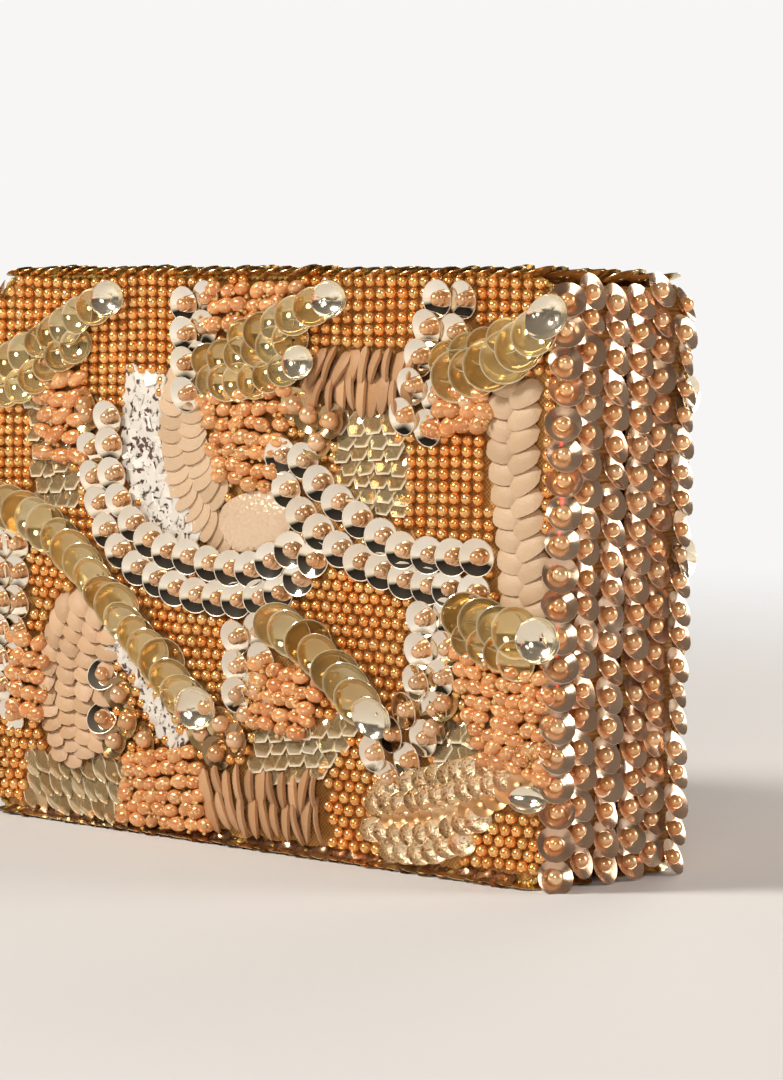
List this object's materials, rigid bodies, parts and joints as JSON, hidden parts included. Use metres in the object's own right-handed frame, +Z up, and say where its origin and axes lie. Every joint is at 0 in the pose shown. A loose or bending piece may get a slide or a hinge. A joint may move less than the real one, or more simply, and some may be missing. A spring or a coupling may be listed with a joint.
{
  "type": "evening bag",
  "caption": "Rigid box clutch in two hinged half shells, lined inside and covered outside in dense bead, pearl, leather and sequin embroidery.",
  "frame": {"origin": "on the base plane, midway across the width and the depth", "axes": "+Z up from the base, front faces -Y, +X to the right seen from the front"},
  "size_m": [0.152, 0.0524, 0.114],
  "materials": {
    "shell_plastic": "moulded, satin",
    "gold_plate": "gold plated, polished",
    "steel": "nickel plated",
    "felt": "felted wadding",
    "satin": "champagne satin",
    "seed_beads": "orange-gold pearl lustre beads on net",
    "cup_sequins": "champagne mirror cups with pearls",
    "clear_gold": "translucent olive-gold lustre",
    "ring_sequins": "cream mirror rings with pearls",
    "nude_leather": "soft matt",
    "peach_pearl": "pearl lustre with gold glitter",
    "clear_sequins": "clear film, glossy",
    "gold_foil": "crackled pale gold foil",
    "silver_foil": "bright silver-white foil"
  },
  "bodies": {
    "back_half": {"back_frame_rim": "gold_plate", "back_gusset_band": "cup_sequins", "back_hinge_leaf_left": "gold_plate", "back_hinge_leaf_right": "gold_plate", "back_leather_braid": "nude_leather", "back_lining_pad": "satin", "back_magnet_bar": "gold_plate", "back_magnet_left": "steel", "back_magnet_right": "steel", "back_panel": "seed_beads", "back_ring_band": "ring_sequins", "back_rope_lower": "clear_gold", "back_rope_upper": "clear_gold", "back_shell": "shell_plastic", "back_wadding": "felt", "back_wall_lining": "satin", "hinge_pin_left": "steel", "hinge_pin_right": "steel", "slip_pocket": "satin"},
    "front_half": {"clear_sequins_base": "clear_sequins", "clear_sequins_top": "clear_sequins", "foil_spray": "gold_foil", "front_frame_rim": "gold_plate", "front_gusset_band": "cup_sequins", "front_hinge_leaf_left": "gold_plate", "front_hinge_leaf_right": "gold_plate", "front_lining_pad": "satin", "front_magnet_bar": "gold_plate", "front_magnet_left": "steel", "front_magnet_right": "steel", "front_panel": "seed_beads", "front_shell": "shell_plastic", "front_wadding": "felt", "front_wall_lining": "satin", "leather_braid": "nude_leather", "leather_crescent": "nude_leather", "leather_petals_base": "nude_leather", "leather_petals_top": "nude_leather", "leather_wing": "nude_leather", "pearls_base": "peach_pearl", "pearls_left": "peach_pearl", "pearls_middle": "peach_pearl", "pearls_right": "peach_pearl", "ring_band_left": "ring_sequins", "ring_band_right": "ring_sequins", "ring_column_right": "ring_sequins", "ring_column_top": "ring_sequins", "rope_long": "clear_gold", "rope_middle": "clear_gold", "rope_right": "clear_gold", "rope_top_left": "clear_gold", "rope_top_middle": "clear_gold", "rope_top_right": "clear_gold", "silver_band": "silver_foil"}
  },
  "joints": [
    {"name": "shell_hinge", "type": "hinge", "parent": "back_half", "child": "front_half", "pos_m": [0, 0.001, 0.0015], "axis": [1, 0, 0], "range_deg": [0, 70]}
  ]
}
